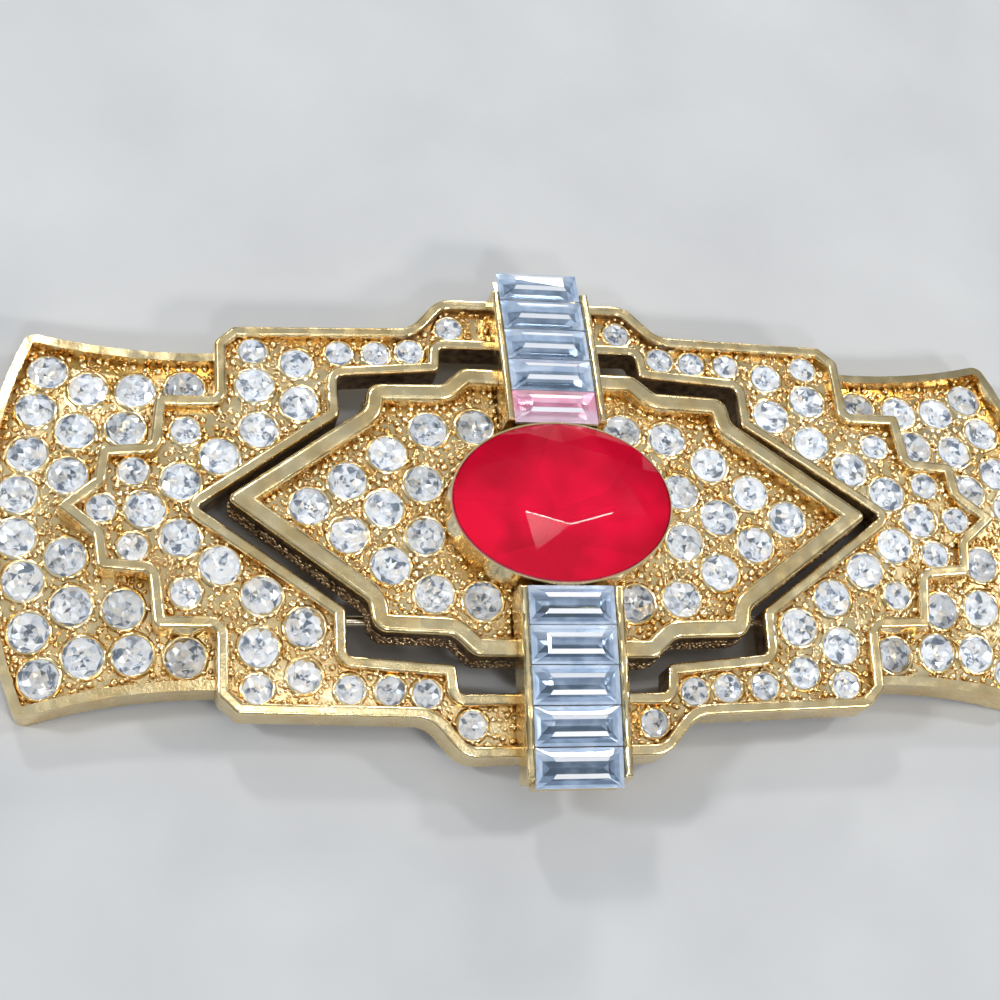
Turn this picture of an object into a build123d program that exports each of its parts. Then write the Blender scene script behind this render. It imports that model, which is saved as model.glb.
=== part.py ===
from build123d import *
import math
import os

# Art Deco brooch: a stepped gold-plated frame with two lower wings, a raised lozenge panel in its
# window, a bowed band of baguettes across the middle, a red oval stone, 120 round stones and a
# hinged pin with a rotating safety catch behind. Millimetres.
#
# X runs along the brooch, Y across it and Z out of its front. While the pieces are drawn, Z = 0 is
# the crest of the frame's rims on the long axis. save() then moves all of them together, so that
# the brooch lies on its back on Z = 0 with the middle of its bounding box over the origin.

# ---------------------------------------------------------------- driving dimensions
BEND_R = 115.0          # radius at which the block and the panel are bowed about X
WING_BEND_R = 67.0      # the wings are bowed more tightly
WING_ROOT = 25.2        # |x| at which the wings' drop is measured
WING_DROP = 0.6         # the wings' rim lies this far under the block's rim at the root
WING_SLOPE = 2.6        # degrees by which the wings droop towards their ends

RIM = 0.85              # width of the polished rims
WING_RIM = 0.68
PANEL_RIM = 1.4
RIM_ROUND = 0.25        # rounding of the rims' crests
PANEL_ROUND = 0.38
RECESS = 0.8            # depth of the stone-set floor under the rims
WING_RECESS = 1.3
PANEL_RECESS = 1.5
FLOOR = 1.4             # thickness of the stone-set floor
WING_FLOOR = 1.3
WALL = 2.6              # height of the frame's side walls
PANEL_RISE = 1.0        # the panel's rim stands this far over the frame's rim
PANEL_WALL = 3.0
PANEL_X = 0.2           # the panel was soldered on a little off centre,
PANEL_TURN = -0.8       # and turned by this many degrees

# Outlines are given as the corners of one quadrant, from the middle out to the tip on the X axis,
# each corner with the radius that rounds it.
BLOCK = [(7.5, 18.1, 2.2), (9.9, 15.3, 2.2), (23.3, 14.85, 0.7), (24.7, 13.5, 0.7),
         (24.7, 8.85, 0.45), (28.95, 8.8, 0.45), (29.35, 4.9, 0.45), (32.85, 4.6, 0.45),
         (33.15, 2.15, 0.45), (35.75, 0.0, 0.3)]
WINDOW = [(7.7, 13.55, 0.5), (7.9, 11.5, 0.4), (15.65, 10.8, 0.5), (15.65, 7.45, 0.6),
          (26.0, 0.0, 0.3)]
PANEL = [(6.7, 11.3, 1.3), (8.3, 9.8, 1.1), (13.9, 9.6, 1.2), (14.25, 7.45, 0.9),
         (24.35, 0.0, 0.5)]
WING_NOTCH = (24.0, 12.95)      # where the wing's edge leaves the block
WING_WAIST = (31.2, 13.2)       # the hollow of its long edge
WING_CORNER = (38.1, 14.6)
WING_END = 41.0                 # crown of the bowed end
WING_CORNER_R = 0.9

BAND_R = {"upper": 70.0, "lower": 105.0}    # bow of the baguette band's two halves about X
BAND_CREST = 3.1        # crest of the glass over the frame's rim
BAND_X = 0.2            # the band is as far off centre as the panel
BAGUETTE_W = 6.35       # along X
BAGUETTE_T = 1.7
BAGUETTE_GAP = 0.06
ROW = {"upper": (1, 6.2, 20.3, 18.0), "lower": (-1, 6.55, 20.95, 20.1)}
#       side of the X axis, start and end of the glass, end of the rails
BAGUETTES = 5
RAIL = 0.62             # thickness of the channel's rails
RAIL_SETBACK = 0.3      # the rails stay this far under the glass
RAIL_ROUND = 0.24

OVAL = (16.0, 12.0)     # red stone, length and width
OVAL_Y = -0.25          # its centre lies a little off the X axis
OVAL_GIRDLE = 2.3       # height of its girdle
OVAL_CROWN = 1.8
OVAL_DEPTH = 3.0
BEZEL = 0.3             # wall of the bezel
BEZEL_TOP = 2.62
BEZEL_SEAT = 0.45       # the seat's ledge under the girdle, clear of the pavilion
FIT = 0.03              # clearance round the stones

LARGE = 3.0             # diameters of the round stones
MEDIUM = 2.6
SMALL = 2.25

# Round stones of one quadrant of the block: |x|, |y|, diameter.
BLOCK_LARGE = [(21.75, 10.15), (18.5, 8.7), (21.5, 6.4), (24.4, 4.2), (27.15, 2.15)]
BLOCK_SMALL = [(6.75, 15.75, SMALL), (9.95, 13.5, SMALL), (12.55, 13.25, SMALL),
               (15.4, 13.15, SMALL), (18.6, 12.15, MEDIUM), (21.85, 13.1, 2.3),
               (26.8, 6.2, 2.3), (30.45, 2.9, 2.3)]
WING_LARGE = [(26.85, 10.55), (30.45, 10.3), (33.8, 10.4), (36.75, 11.85), (31.1, 7.0),
              (34.65, 6.75), (37.5, 8.6), (37.95, 4.9), (35.1, 3.15), (38.55, 1.65)]
PANEL_LARGE = [(15.45, 2.1), (12.45, 4.4), (9.3, 6.5), (9.85, 2.05), (5.75, 6.95)]
AXIS_LARGE = 29.6       # |x| of the stones on the X axis
AXIS_SMALL = 32.65
PANEL_AXIS = [18.25, 12.8]

# Pin, its joint and its catch, behind the frame.
PIN_Y = -7.2
PIN_Z = -4.1
PIN_R = 0.43
NECK_R = 0.6            # thicker neck between the barrel and the wire
NECK_END = -19.5
PIN_TIP = 25.0          # x of the point
PIN_TAPER = 5.0
JOINT_X = -21.7
CATCH_X = 21.7
FOOT = (3.4, 2.8, 0.5)  # soldered foot of the joint and of the catch
EAR_T = 0.7
EAR_R = 0.95
BARREL_R = 0.85
BARREL_W = 1.3
BARREL_PLAY = 0.06
BARREL_CLEAR = 0.08     # over the barrel; the slot is open underneath
RIVET_R = 0.4
RIVET_PLAY = 0.04
RIVET_HEAD = (0.6, 0.25)
HOUSING_R = 1.3
HOUSING_BORE = 0.93
HOUSING_L = 2.6
HOUSING_SLOT = 1.3
SLEEVE_R = 0.88
SLEEVE_BORE = 0.56
SLEEVE_SLOT = 0.98
COLLAR_R = 1.12
COLLAR_L = 0.4
COLLAR_PLAY = 0.06
LEVER = (1.9, 0.95)     # reach from the axis and width of the thumb lever

REACH = 60.0            # more than any piece is long


# ---------------------------------------------------------------- surfaces and outlines
def quadrants(corners):
    """Face of the outline whose quadrant is given, mirrored about both axes."""
    tip = corners[-1]
    rest = corners[:-1]
    loop = rest + [tip] + [(x, -y, r) for x, y, r in reversed(rest)]
    loop += [(-x, -y, r) for x, y, r in rest] + [(-tip[0], 0.0, tip[2])]
    loop += [(-x, y, r) for x, y, r in reversed(rest)]
    line = FilletPolyline(*[(x, y) for x, y, r in loop], radius=[r for x, y, r in loop], close=True)
    return make_face(line.edges())


def wing_face():
    """Outline of the wing on the right, open towards the block."""
    (nx, ny), (wx, wy), (cx, cy) = WING_NOTCH, WING_WAIST, WING_CORNER
    edges = [ThreePointArc((nx, ny), (wx, wy), (cx, cy)),
             ThreePointArc((cx, cy), (WING_END, 0), (cx, -cy)),
             ThreePointArc((cx, -cy), (wx, -wy), (nx, -ny)),
             Line((nx, -ny), (nx, ny))]
    face = make_face([e.edge() for e in edges])
    return fillet(face.vertices().filter_by(lambda v: v.X > nx + 1), WING_CORNER_R)


def column(face):
    """Tall prism on a face."""
    return extrude(face, REACH / 2, both=True)


def bowed(radius, top, bottom):
    """Shell bowed about X, from top down to bottom, measured from its own crest."""
    turned = Pos(0, 0, -radius) * Rot(0, 90, 0)
    return turned * (Cylinder(radius + top, 2 * REACH) - Cylinder(radius + bottom, 2 * REACH))


def wing_shell(side, top, bottom):
    place = Pos(side * WING_ROOT, 0, -WING_DROP) * Rot(0, side * WING_SLOPE, 0)
    return place * bowed(WING_BEND_R, top, bottom)


def block_place(x, y, depth):
    """Location on the block's bowed surface, its Z axis square to the surface."""
    turn = math.degrees(math.asin(y / BEND_R))
    return Pos(x, 0, -BEND_R) * Rot(-turn, 0, 0) * Pos(0, 0, BEND_R + depth)


def wing_place(x, y, depth):
    side = math.copysign(1, x)
    along = (abs(x) - WING_ROOT) / math.cos(math.radians(WING_SLOPE))
    turn = math.degrees(math.asin(y / WING_BEND_R))
    place = Pos(side * WING_ROOT, 0, -WING_DROP) * Rot(0, side * WING_SLOPE, 0)
    return place * Pos(side * along, 0, -WING_BEND_R) * Rot(-turn, 0, 0) * Pos(0, 0, WING_BEND_R + depth)


def panel_place():
    return Pos(PANEL_X, 0, PANEL_RISE) * Rot(0, 0, PANEL_TURN)


def rounded_ring(ring, surface_height, radius):
    """Rounds the crest of a rim whose top lies on the surface."""
    top = ring.edges().filter_by(lambda e: abs(e.center().Z - surface_height(e.center())) < 0.02)
    return fillet(top, radius)


def band_height(name, y):
    return BAND_CREST - BAND_R[name] + math.sqrt(BAND_R[name] ** 2 - y ** 2)


# ---------------------------------------------------------------- stones
def round_stone(d):
    """Brilliant in outline: table, crown, girdle and pointed pavilion. Z = 0 is its girdle."""
    r = d / 2
    profile = Polyline((0, 0.14 * d), (0.58 * r, 0.14 * d), (r, 0.01 * d), (r, -0.02 * d),
                       (0.06 * r, -0.34 * d), (0, -0.34 * d), close=True)
    return revolve(Plane.XZ * make_face(profile.edges()), Axis.Z)


def round_seat(d):
    """The pocket that the stone sits in: a cone with a cylinder over it."""
    r = d / 2 + FIT
    foot = -0.34 * d - 2 * FIT
    profile = Polyline((0, foot), (0.1 * r, foot), (r, -0.02 * d), (r, 2.0), (0, 2.0), close=True)
    return revolve(Plane.XZ * make_face(profile.edges()), Axis.Z)


def mirrored(points):
    return [(sx * x, sy * y) for x, y in points for sx in (-1, 1) for sy in (1, -1)]


def block_stones(side):
    """(location, diameter) of the large stones, then of the small ones, on one side of the block."""
    large = [(x, y, LARGE) for x, y in mirrored(BLOCK_LARGE)] + [(side * AXIS_LARGE, 0, LARGE)]
    small = [(sx * x, sy * y, d) for x, y, d in BLOCK_SMALL for sx in (-1, 1) for sy in (1, -1)]
    small += [(side * AXIS_SMALL, 0, SMALL)]
    keep = [[(block_place(x, y, -RECESS), d) for x, y, d in group if x * side > 0]
            for group in (large, small)]
    return keep[0], keep[1]


def wing_stones(side):
    return [(wing_place(x, y, -WING_RECESS), LARGE) for x, y in mirrored(WING_LARGE) if x * side > 0]


def panel_stones(side):
    spots = [p for p in mirrored(PANEL_LARGE) if p[0] * side > 0]
    spots += [(side * x, 0) for x in PANEL_AXIS]
    return [(panel_place() * block_place(x, y, -PANEL_RECESS), LARGE) for x, y in spots]


def group(places, shape):
    """One compound of separate solids, the shape of each diameter put at its places."""
    kinds = {d: shape(d) for d in {d for _, d in places}}
    return Compound(children=[place * kinds[d] for place, d in places])


def cut_seats(body, places):
    kinds = {d: round_seat(d) for d in {d for _, d in places}}
    return body - [place * kinds[d] for place, d in places]


def ellipse_prism(length, width, bottom, top):
    return Pos(0, OVAL_Y, bottom) * extrude(Ellipse(length / 2, width / 2), top - bottom)


def oval_stone():
    """Oval brilliant in outline: crown to an oval table, girdle, pavilion to a small culet."""
    length, width = OVAL[0] - 2 * FIT, OVAL[1] - 2 * FIT
    girdle = 0.15
    levels = [(0.0, 1.0), (OVAL_CROWN, 0.66)]
    crown = loft([Pos(0, 0, girdle + z) * Ellipse(length / 2 * k, width / 2 * k) for z, k in levels])
    belt = extrude(Ellipse(length / 2, width / 2), girdle)
    levels = [(0.0, 1.0), (-OVAL_DEPTH, 0.12)]
    pavilion = loft([Pos(0, 0, z) * Ellipse(length / 2 * k, width / 2 * k) for z, k in levels])
    return Pos(0, OVAL_Y, OVAL_GIRDLE) * (crown + belt + pavilion)


def baguette(length):
    """Step-cut bar: two bevels up to the table, girdle, pavilion. Z = 0 is its table."""
    w, l, t = BAGUETTE_W, length, BAGUETTE_T
    levels = [(0.0, w - 2.6, l - 1.8), (-0.22, w - 2.05, l - 0.72), (-0.62, w, l)]
    steps = [Pos(0, 0, z) * Rectangle(a, b) for z, a, b in levels]
    belt = Pos(0, 0, -0.62 - 0.15) * Box(w, l, 0.3)
    foot = loft([Pos(0, 0, -0.92) * Rectangle(w, l), Pos(0, 0, -t) * Rectangle(w - 2.4, l - 1.8)])
    return loft(steps[:2]) + loft(steps[1:]) + belt + foot


# ---------------------------------------------------------------- frame, panel and band
def outer_frame():
    block = quadrants(BLOCK)
    window = quadrants(WINDOW)
    crest = lambda p: -BEND_R + math.sqrt(BEND_R ** 2 - p.Y ** 2)
    outer_rim = column(block - offset(block, -RIM, kind=Kind.INTERSECTION))
    window_rim = column(offset(window, RIM, kind=Kind.INTERSECTION) - window)
    rims = [rounded_ring(rim & bowed(BEND_R, 0, -WALL), crest, RIM_ROUND)
            for rim in (outer_rim, window_rim)]
    floor = column(block - window) & bowed(BEND_R, -RECESS, -RECESS - FLOOR)
    frame = floor + rims[0] + rims[1]
    for side in (-1, 1):
        face = wing_face() if side > 0 else mirror(wing_face(), about=Plane.YZ)
        rim = column(face - offset(face, -WING_RIM, kind=Kind.INTERSECTION))
        rim = rim & wing_shell(side, 0, -WALL)
        floor = column(face) & wing_shell(side, -WING_RECESS, -WING_RECESS - WING_FLOOR)
        frame += (rim + floor) - column(block)
    for side in (-1, 1):
        large, small = block_stones(side)
        frame = cut_seats(frame, large + small + wing_stones(side))
    return frame


def panel_floor(face, top, bottom):
    return column(face) & bowed(BEND_R, top, bottom)


def center_panel():
    face = quadrants(PANEL)
    crest = lambda p: -BEND_R + math.sqrt(BEND_R ** 2 - p.Y ** 2)
    rim = column(face - offset(face, -PANEL_RIM, kind=Kind.INTERSECTION))
    rim = rounded_ring(rim & bowed(BEND_R, 0, -PANEL_WALL), crest, PANEL_ROUND)
    panel = panel_place() * (rim + panel_floor(face, -PANEL_RECESS, -PANEL_RECESS - FLOOR))
    panel -= ellipse_prism(10.4, 7.4, -REACH / 2, REACH / 2)
    return cut_seats(panel, panel_stones(-1) + panel_stones(1))


def under_band():
    """What lies under the band: the frame up to its crest, its recess, the panel and its recess."""
    block, window, panel = quadrants(BLOCK), quadrants(WINDOW), quadrants(PANEL)
    recess = (offset(block, -RIM, kind=Kind.INTERSECTION) -
              offset(window, RIM, kind=Kind.INTERSECTION))
    ground = bowed(BEND_R, -RECESS, -REACH / 2)
    crest = bowed(BEND_R, 0, -REACH / 2) - column(recess)
    inner = offset(panel, -PANEL_RIM, kind=Kind.INTERSECTION)
    raised = panel_floor(panel - inner, 0, -REACH / 2) + panel_floor(inner, -PANEL_RECESS, -REACH / 2)
    return [ground, crest, panel_place() * raised]


def channel(name):
    """Half of the bowed channel that holds one row of baguettes, standing on panel and frame."""
    side, start, end, rail_end = ROW[name]
    bow = BAND_R[name]
    half = BAGUETTE_W / 2 + FIT + RAIL
    rails = Pos(BAND_X, side * (start + rail_end) / 2, 0) * Box(2 * half, rail_end - start, REACH / 2)
    rails = rails & Pos(0, 0, BAND_CREST) * bowed(bow, -RAIL_SETBACK, -REACH / 2)
    trough = Pos(BAND_X, 0, 0) * Box(BAGUETTE_W + 2 * FIT, REACH * 2, REACH)
    rails -= trough & Pos(0, 0, BAND_CREST) * bowed(bow, REACH / 4, -BAGUETTE_T - FIT)
    tops = [e for e in rails.edges() if e.center().Z > band_height(name, e.center().Y) - RAIL_SETBACK - 0.05]
    rails = fillet(tops, RAIL_ROUND)
    last = end - 0.5
    bed = Pos(BAND_X, side * (rail_end + last) / 2, 0) * Box(BAGUETTE_W, last - rail_end, REACH / 2)
    bed = bed & Pos(0, 0, BAND_CREST) * bowed(bow, -BAGUETTE_T - FIT, -REACH / 2)
    return (rails + bed) - under_band()


def bezel():
    inner = (OVAL[0] + 2 * FIT, OVAL[1] + 2 * FIT)
    wall = ellipse_prism(OVAL[0] + 2 * BEZEL, OVAL[1] + 2 * BEZEL, -REACH / 2, BEZEL_TOP)
    ledge = ellipse_prism(OVAL[0] - 1.6, OVAL[1] - 1.6, -REACH / 2, REACH / 2)
    hollow = ellipse_prism(inner[0], inner[1], OVAL_GIRDLE - BEZEL_SEAT, REACH / 2)
    ring = wall - hollow - ledge
    return ring - Pos(0, 0, PANEL_RISE) * bowed(BEND_R, -PANEL_RECESS, -REACH)


# ---------------------------------------------------------------- pin and catch
def foot_at(x):
    """Foot that fits the bowed underside of the frame's floor."""
    length, width, t = FOOT
    under = -RECESS - FLOOR
    return column(Pos(x, PIN_Y) * RectangleRounded(length, width, 0.5)) & bowed(BEND_R, under, under - t)


def under_floor(shape):
    """What of the shape lies under the floor's underside."""
    return shape - bowed(BEND_R, REACH / 2, -RECESS - FLOOR)


def along_y(x, radius, width):
    return Pos(x, PIN_Y, PIN_Z) * Rot(90, 0, 0) * Cylinder(radius, width)


def along_x(x, radius, length):
    return Pos(x, PIN_Y, PIN_Z) * Rot(0, 90, 0) * Cylinder(radius, length)


def pin_joint():
    outer = BARREL_W + 2 * BARREL_PLAY + 2 * EAR_T
    post_h = -PIN_Z
    ears = along_y(JOINT_X, EAR_R, outer)
    ears += Pos(JOINT_X, PIN_Y, PIN_Z + post_h / 2) * Box(2 * EAR_R, outer, post_h)
    slot_top = BARREL_R + BARREL_CLEAR
    slot = Box(4 * EAR_R, BARREL_W + 2 * BARREL_PLAY, slot_top + 2 * EAR_R)
    ears -= Pos(JOINT_X, PIN_Y, PIN_Z + slot_top / 2 - EAR_R) * slot
    ears -= along_y(JOINT_X, RIVET_R, 2 * outer)
    return under_floor(ears) + foot_at(JOINT_X)


def joint_rivet():
    outer = BARREL_W + 2 * BARREL_PLAY + 2 * EAR_T
    head_r, head_t = RIVET_HEAD
    rivet = along_y(JOINT_X, RIVET_R, outer)
    for side in (-1, 1):
        rivet += Pos(0, side * (outer + head_t) / 2, 0) * along_y(JOINT_X, head_r, head_t)
    return rivet


def pin_stem():
    straight = PIN_TIP - PIN_TAPER - JOINT_X
    stem = along_x(JOINT_X + straight / 2, PIN_R, straight)
    stem += along_x((JOINT_X + NECK_END) / 2, NECK_R, NECK_END - JOINT_X)
    point = Pos(PIN_TIP - PIN_TAPER / 2, PIN_Y, PIN_Z) * Rot(0, 90, 0) * Cone(PIN_R, 0.06, PIN_TAPER)
    return along_y(JOINT_X, BARREL_R, BARREL_W) + stem + point - along_y(JOINT_X, RIVET_R + RIVET_PLAY, 9)


def slot_below(width, length):
    """Box from the catch's axis downwards, as wide as the slot."""
    return Pos(CATCH_X, PIN_Y, PIN_Z - 2) * Box(length, width, 4)


def catch_housing():
    post_h = -PIN_Z
    body = along_x(CATCH_X, HOUSING_R, HOUSING_L)
    body += Pos(CATCH_X, PIN_Y, PIN_Z + post_h / 2) * Box(HOUSING_L, HOUSING_R * 1.3, post_h)
    body -= along_x(CATCH_X, HOUSING_BORE, 9)
    body -= slot_below(HOUSING_SLOT, 9)
    return under_floor(body) + foot_at(CATCH_X)


def catch_sleeve():
    collar_at = HOUSING_L / 2 + COLLAR_PLAY + COLLAR_L / 2
    sleeve = along_x(CATCH_X, SLEEVE_R, HOUSING_L + 2 * (COLLAR_PLAY + COLLAR_L))
    for side in (-1, 1):
        sleeve += along_x(CATCH_X + side * collar_at, COLLAR_R, COLLAR_L)
    reach, width = LEVER
    lever = Pos(CATCH_X + collar_at, PIN_Y - reach / 2, PIN_Z) * Box(COLLAR_L, reach, width)
    lever += Pos(CATCH_X + collar_at, PIN_Y - reach, PIN_Z) * Rot(0, 90, 0) * Cylinder(width / 2, COLLAR_L)
    sleeve += lever
    sleeve -= along_x(CATCH_X, SLEEVE_BORE, 9)
    return sleeve - slot_below(SLEEVE_SLOT, 9)


# ---------------------------------------------------------------- assembly
def build():
    parts = {"outer_frame": outer_frame(), "center_panel": center_panel()}
    parts["oval_bezel"] = bezel()
    parts["oval_stone"] = oval_stone()
    for name, (side, start, end, _) in ROW.items():
        parts["band_channel_" + name] = channel(name)
        pitch = (end - start) / BAGUETTES
        bar = baguette(pitch - BAGUETTE_GAP)
        for n in range(BAGUETTES):
            y = side * (start + pitch * (n + 0.5))
            turn = -math.degrees(math.asin(y / BAND_R[name]))
            place = Pos(BAND_X, y, band_height(name, y)) * Rot(turn, 0, 0)
            parts[f"baguette_{name}_{n + 1}"] = place * bar
    for word, side in (("left", -1), ("right", 1)):
        large, small = block_stones(side)
        parts["stones_block_" + word] = group(large, round_stone)
        parts["stones_small_" + word] = group(small, round_stone)
        parts["stones_wing_" + word] = group(wing_stones(side), round_stone)
        parts["stones_panel_" + word] = group(panel_stones(side), round_stone)
    parts["pin_joint"] = pin_joint()
    parts["joint_rivet"] = joint_rivet()
    parts["pin_stem"] = pin_stem()
    parts["catch_housing"] = catch_housing()
    parts["catch_sleeve"] = catch_sleeve()
    return parts


def save(parts):
    boxes = [shape.bounding_box() for shape in parts.values()]
    low = [min(getattr(b.min, k) for b in boxes) for k in "XYZ"]
    high = [max(getattr(b.max, k) for b in boxes) for k in "XYZ"]
    shift = Pos(-(low[0] + high[0]) / 2, -(low[1] + high[1]) / 2, -low[2])
    print("shift", tuple(round(v, 3) for v in shift.position),
          "size", tuple(round(b - a, 3) for a, b in zip(low, high)))
    os.makedirs("parts", exist_ok=True)
    for name, shape in parts.items():
        export_step(shift * shape, f"parts/{name}.step")


save(build())
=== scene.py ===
import math

import bmesh
import bpy
import numpy as np
from mathutils import Matrix, Quaternion, Vector
from mathutils.bvhtree import BVHTree


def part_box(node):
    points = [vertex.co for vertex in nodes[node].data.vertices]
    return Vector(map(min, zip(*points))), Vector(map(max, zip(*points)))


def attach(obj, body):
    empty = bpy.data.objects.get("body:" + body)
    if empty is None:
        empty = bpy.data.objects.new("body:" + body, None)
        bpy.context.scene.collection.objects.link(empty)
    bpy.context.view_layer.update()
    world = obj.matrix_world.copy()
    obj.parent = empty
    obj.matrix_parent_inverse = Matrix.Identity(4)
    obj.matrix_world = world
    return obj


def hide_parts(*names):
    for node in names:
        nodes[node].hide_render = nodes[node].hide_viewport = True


# Art Deco brooch: gold-plated casting set with foil-backed stones. The metal parts come from the
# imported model. The stones are cut again here with all their facets, and the fine gold work, which
# is the stones' lips, the grains between them and the panel's beaded wall, is added.

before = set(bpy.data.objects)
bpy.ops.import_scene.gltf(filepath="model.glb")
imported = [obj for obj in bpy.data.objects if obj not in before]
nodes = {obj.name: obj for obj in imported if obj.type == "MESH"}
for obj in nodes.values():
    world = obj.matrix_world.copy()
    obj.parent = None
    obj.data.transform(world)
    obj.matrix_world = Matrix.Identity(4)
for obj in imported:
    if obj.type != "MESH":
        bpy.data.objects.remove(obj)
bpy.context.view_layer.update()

MM = 0.001
SEED = 41

# ---------------------------------------------------------------- camera
CAMERA_AT = (-32.15, -45.09, 122.25)     # millimetres, as are sizes below with no unit
CAMERA_TARGET = (-4.03, 1.2, 5.4)
CAMERA_ROLL = 29.8                       # degrees
CAMERA_LENS = 63.0


def make_camera():
    data = bpy.data.cameras.new("camera")
    data.lens = CAMERA_LENS
    data.clip_start = 0.005
    data.clip_end = 5.0
    cam = bpy.data.objects.new("camera", data)
    bpy.context.scene.collection.objects.link(cam)
    cam.location = Vector(CAMERA_AT) * MM
    look = (Vector(CAMERA_TARGET) - Vector(CAMERA_AT)).to_track_quat("-Z", "Y")
    cam.rotation_mode = "QUATERNION"
    cam.rotation_quaternion = look @ Quaternion((0, 0, 1), math.radians(CAMERA_ROLL))
    bpy.context.scene.camera = cam


# ---------------------------------------------------------------- materials
def new_material(name):
    mat = bpy.data.materials.new(name)
    mat.use_nodes = True
    tree = mat.node_tree
    return mat, tree, tree.nodes["Principled BSDF"]


def add(tree, kind, **settings):
    node = tree.nodes.new(kind)
    for key, value in settings.items():
        if key in node.inputs:
            node.inputs[key].default_value = value
        else:
            setattr(node, key, value)
    return node


def position(tree):
    """Object coordinates; a node's object sits at the origin, so they are metres in the frame."""
    return add(tree, "ShaderNodeTexCoord").outputs["Object"]


def noise(tree, scale, detail=2.0, rough=0.5):
    node = add(tree, "ShaderNodeTexNoise")
    node.inputs["Scale"].default_value = scale
    node.inputs["Detail"].default_value = detail
    node.inputs["Roughness"].default_value = rough
    tree.links.new(position(tree), node.inputs["Vector"])
    return node.outputs["Fac"]


def ramp(tree, value, stops):
    node = tree.nodes.new("ShaderNodeValToRGB")
    while len(node.color_ramp.elements) < len(stops):
        node.color_ramp.elements.new(0.5)
    for element, (at, colour) in zip(node.color_ramp.elements, stops):
        element.position = at
        element.color = (*colour, 1.0)
    tree.links.new(value, node.inputs["Fac"])
    return node.outputs["Color"]


def bump(tree, height, strength, distance, below=None):
    node = tree.nodes.new("ShaderNodeBump")
    node.inputs["Strength"].default_value = strength
    node.inputs["Distance"].default_value = distance
    tree.links.new(height, node.inputs["Height"])
    if below is not None:
        tree.links.new(below, node.inputs["Normal"])
    return node.outputs["Normal"]


def math_node(tree, operation, a, b=None, clamp=False):
    node = tree.nodes.new("ShaderNodeMath")
    node.operation = operation
    node.use_clamp = clamp
    for socket, value in zip(node.inputs, (a, b)):
        if isinstance(value, (int, float)):
            socket.default_value = value
        elif value is not None:
            tree.links.new(value, socket)
    return node.outputs[0]


def spread(tree, value, low, high, to_low=0.0, to_high=1.0):
    """Value from low to high turned smoothly into to_low to to_high."""
    node = tree.nodes.new("ShaderNodeMapRange")
    node.interpolation_type = "SMOOTHSTEP"
    for key, number in (("From Min", low), ("From Max", high), ("To Min", to_low), ("To Max", to_high)):
        node.inputs[key].default_value = number
    tree.links.new(value, node.inputs["Value"])
    return node.outputs["Result"]


def blend(tree, amount, first, second):
    node = tree.nodes.new("ShaderNodeMix")
    node.data_type = "RGBA"
    tree.links.new(amount, node.inputs[0])
    for socket, value in ((node.inputs[6], first), (node.inputs[7], second)):
        if isinstance(value, tuple):
            socket.default_value = (*value, 1.0)
        else:
            tree.links.new(value, socket)
    return node.outputs[2]


REACH_ALONG_Y = 1.3         # a wall's Y counts this much more than its X towards its reach
STEEP = (0.35, 0.7)         # the normal's Z where a face stops being a wall


def shaded_wall_mask(tree, facing, top, foot, reach):
    """1 on steep walls that face away from the middle (facing 1) or towards it (-1), under a height
    and within a reach of the middle, counted along X and Y together; there the walls get painted shade."""
    coords = add(tree, "ShaderNodeTexCoord")
    place = tree.nodes.new("ShaderNodeSeparateXYZ")
    normal = tree.nodes.new("ShaderNodeSeparateXYZ")
    tree.links.new(coords.outputs["Object"], place.inputs[0])
    tree.links.new(coords.outputs["Normal"], normal.inputs[0])
    across = math_node(tree, "MULTIPLY", place.outputs["X"], normal.outputs["X"])
    along = math_node(tree, "MULTIPLY", place.outputs["Y"], normal.outputs["Y"])
    outward = math_node(tree, "MULTIPLY", math_node(tree, "ADD", across, along), facing)
    steep = spread(tree, math_node(tree, "ABSOLUTE", normal.outputs["Z"]), *STEEP, 1.0, 0.0)
    low = spread(tree, place.outputs["Z"], foot * MM, top * MM, 1.0, 0.0)
    side = math_node(tree, "ABSOLUTE", place.outputs["X"])
    ahead = math_node(tree, "ABSOLUTE", place.outputs["Y"])
    ahead = math_node(tree, "MULTIPLY", ahead, REACH_ALONG_Y)
    within = math_node(tree, "LESS_THAN", math_node(tree, "ADD", side, ahead), reach * MM)
    near = math_node(tree, "MULTIPLY", math_node(tree, "GREATER_THAN", outward, 0.0), within)
    return math_node(tree, "MULTIPLY", math_node(tree, "MULTIPLY", steep, low), near)


# reach of the ambient occlusion that places the painted shade in hollows
PAINTED_SHADE_REACH = 0.9         # millimetres
# the walls' dark colour: partly the casting's skin, partly painted shade
STAIN_AND_SHADE = [(0.35, (0.15, 0.09, 0.05)), (0.7, (0.5, 0.33, 0.17))]
STAIN_AND_SHADE_SCALE = 1500.0
STAIN_ROUGHER = 0.15
STAIN_PITTED = 3.0


def stained_and_shaded(tree, mask, colour, gloss, pits):
    """Colour, roughness and pits with the casting's dark skin where the mask is 1; the dark colour is
    partly painted shade.
    """
    skin_and_shade = ramp(tree, noise(tree, STAIN_AND_SHADE_SCALE, 4.0), STAIN_AND_SHADE)
    rougher = math_node(tree, "MULTIPLY", mask, STAIN_ROUGHER)
    deeper = math_node(tree, "ADD", 1.0, math_node(tree, "MULTIPLY", mask, STAIN_PITTED))
    return (blend(tree, mask, colour, skin_and_shade), math_node(tree, "ADD", gloss, rougher),
            math_node(tree, "MULTIPLY", pits, deeper))


TONE_SCALE = 420.0          # noise scales are cycles for each metre
GLOSS_SCALE = 900.0
WAVE_SCALE = 700.0
PIT_SCALE = 4200.0
WAVE_DEPTH = 0.009 * MM
PIT_DEPTH = 0.006 * MM


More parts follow.
